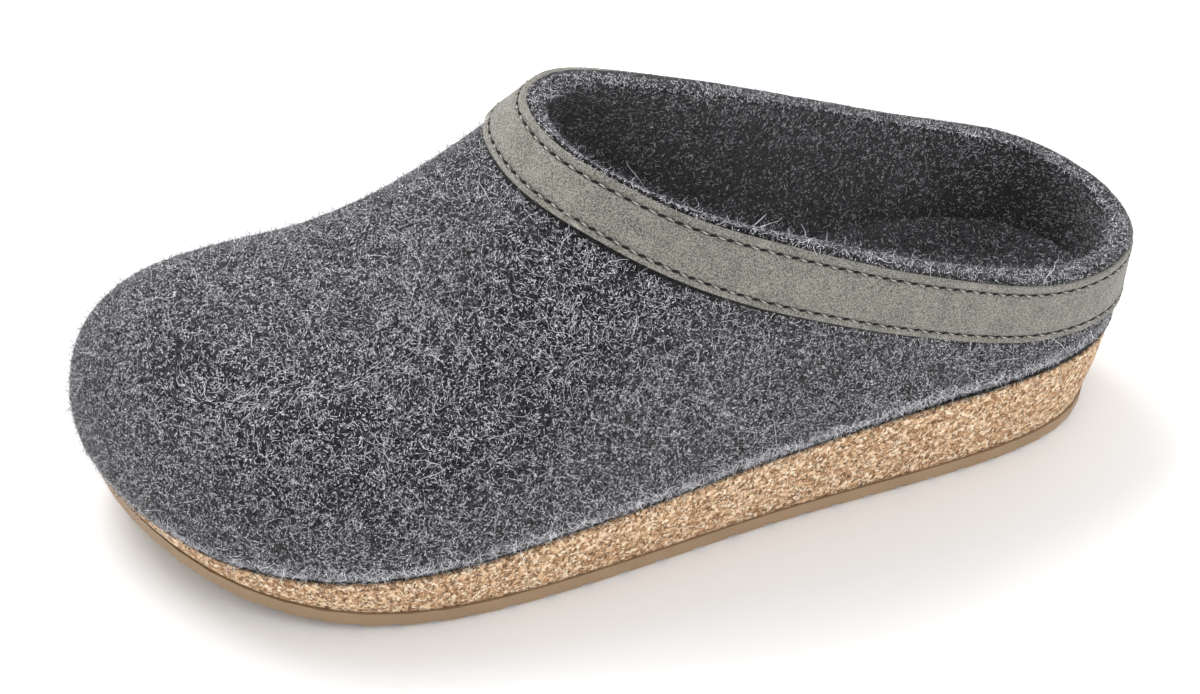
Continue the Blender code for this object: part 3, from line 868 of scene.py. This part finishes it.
# The cut edges show the raw leather.
for face in band.data.polygons:
    off_wall = distances_to(upper_tree, [face.center])[0]
    off_edge = min(top_tree.find(face.center)[2], low_tree.find(face.center)[2])
    if 0.5 * MM < off_wall < 1.5 * MM and off_edge < 1.6 * MM:
        face.material_index = 1
# The thread pulls a shallow groove, and the leather swells a little beside it.
on_face = distances_to(upper_tree, places) > 1.55 * MM
for line, _ in (upper_row, lower_row):
    gap = nearest_in(points_tree(line), places)[1]
    dip = GROOVE_DEPTH * fade(gap, GROOVE_WIDTH) - 0.1 * fade(gap - 1.3 * MM, 0.7)
    places -= normals * (dip * MM * on_face)[:, None]
# The band's ends meet at the heel in a butt joint.
joint = np.array(HEEL_JOINT) * MM
at = np.argmin(np.sum((top_ring - joint) ** 2, 1))
along = unit(top_ring[(at + 6) % RING_POINTS] - top_ring[at - 6])
near_joint = np.linalg.norm(places - joint, axis=1) < 25 * MM
parted = JOINT_DEPTH * fade((places - joint) @ along, JOINT_WIDTH) * near_joint
places -= normals * (parted * on_face * MM)[:, None]
places += normals * (0.03 * MM * waves(places, 9 * MM) * on_face)[:, None]
move_vertices(band.data, places)
ride(band, "grey_leather", "collar_band")


def sew(name, rows):
    """Lays two twisted plies for each stitch of each row, as one curve object; the grey ply paints the thread's
    glints.
    """
    curve = bpy.data.curves.new(name, "CURVE")
    curve.dimensions = "3D"
    curve.bevel_depth = PLY_RADIUS * MM
    curve.bevel_resolution = 1
    for ply in ("dark", "grey"):
        curve.materials.append(thread[ply])
    shares = np.linspace(0, 1, PLY_STEPS)
    for line, facing in rows:
        run = length_round(line)
        count = round(run / (STITCH_PITCH * MM))
        for i in range(count):
            at = (i + 0.5 + (shares - 0.5) * STITCH_LENGTH / STITCH_PITCH) / count * len(line)
            at = at.round().astype(int) % len(line)
            middle, normal = line[at], unit(facing[at])
            along = unit(np.gradient(middle, axis=0))
            side = np.cross(normal, along)
            arch = STITCH_HEIGHT - STITCH_DIVE * (2 * shares - 1) ** 6
            slant = STITCH_SLANT * (2 * shares - 1)
            for ply in range(2):
                turn = shares * STITCH_LENGTH / PLY_TURN * 2 * math.pi + ply * math.pi
                reach = 0.8 * PLY_RADIUS
                sideways = side * (slant + reach * np.cos(turn))[:, None]
                outwards = normal * (arch + reach * np.sin(turn))[:, None]
                place = middle + (sideways + outwards) * MM
                spline = curve.splines.new("NURBS")
                spline.points.add(PLY_STEPS - 1)
                spline.points.foreach_set("co", np.c_[place, np.ones(PLY_STEPS)].ravel().tolist())
                spline.use_endpoint_u = True
                spline.order_u = 3
                spline.resolution_u = 1
                spline.material_index = ply
    return placed(name, curve)


ride(sew("band_stitches", (upper_row, lower_row)), "grey_leather")

# Painted shade in the needle's holes: dark lenses between the stitches, pulled a little long.
hole_dark = finish("needle_hole_shadow", Base_Color=linear("#0c0c0d"), Roughness=0.9)[0]
holes = bmesh.new()
for line, facing in (upper_row, lower_row):
    count = round(length_round(line) / (STITCH_PITCH * MM))
    for i in range(count):
        at = round(i / count * len(line)) % len(line)
        along = Vector(line[(at + 4) % len(line)] - line[at - 4]).normalized()
        normal = Vector(facing[at]).normalized()
        along.rotate(Quaternion(normal, math.radians(HOLE_SLANT)))
        side = normal.cross(along).normalized()
        spin = Matrix((along, side, normal)).transposed().to_4x4()
        size = Matrix.Diagonal((*[half * MM for half in HOLE_SIZE], 1))
        sunk = Matrix.Translation(line[at] - facing[at] * HOLE_DEPTH * MM)
        bmesh.ops.create_icosphere(holes, subdivisions=1, radius=1, matrix=sunk @ spin @ size)
ride(into_object(holes, "needle_hole_shade_marks", [hole_dark]), "grey_leather")
